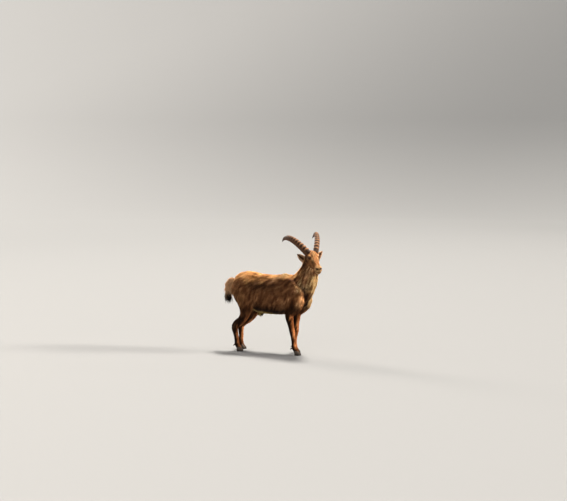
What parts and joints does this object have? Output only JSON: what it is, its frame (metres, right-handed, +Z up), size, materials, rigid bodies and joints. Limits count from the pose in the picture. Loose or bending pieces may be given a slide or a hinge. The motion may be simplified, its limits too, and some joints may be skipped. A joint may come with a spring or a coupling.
{
  "type": "alpine ibex",
  "caption": "Standing young male alpine ibex with ridged back-swept horns, its head turned to its right, as a still life-size model.",
  "frame": {"origin": "on the ground, at the centre of the whole animal's box seen from above", "axes": "+X towards the animal's front, +Y to its left, +Z up"},
  "size_m": [1.2158, 0.5568, 1.2757],
  "materials": {
    "coat": "dense golden-brown fur",
    "face_fur": "short warm brown fur",
    "leg_fur": "short dark brown fur",
    "tail_hair": "buff hair with a black tuft",
    "ear_fur": "short fur, dark inside",
    "horn": "ridged horn, satin",
    "hoof": "dark horn, satin",
    "eyeball": "amber eye, wet gloss"
  },
  "bodies": {
    "root": {"dewclaw_fore_L_inner": "hoof", "dewclaw_fore_L_outer": "hoof", "dewclaw_fore_R_inner": "hoof", "dewclaw_fore_R_outer": "hoof", "dewclaw_hind_L_inner": "hoof", "dewclaw_hind_L_outer": "hoof", "dewclaw_hind_R_inner": "hoof", "dewclaw_hind_R_outer": "hoof", "ear_L": "ear_fur", "ear_R": "ear_fur", "eye_L": "eyeball", "eye_R": "eyeball", "foreleg_L": "leg_fur", "foreleg_R": "leg_fur", "head": "face_fur", "hindleg_L": "leg_fur", "hindleg_R": "leg_fur", "hoof_fore_L_inner": "hoof", "hoof_fore_L_outer": "hoof", "hoof_fore_R_inner": "hoof", "hoof_fore_R_outer": "hoof", "hoof_hind_L_inner": "hoof", "hoof_hind_L_outer": "hoof", "hoof_hind_R_inner": "hoof", "hoof_hind_R_outer": "hoof", "horn_L": "horn", "horn_R": "horn", "neck": "coat", "tail": "tail_hair", "torso": "coat"}
  },
  "joints": []
}
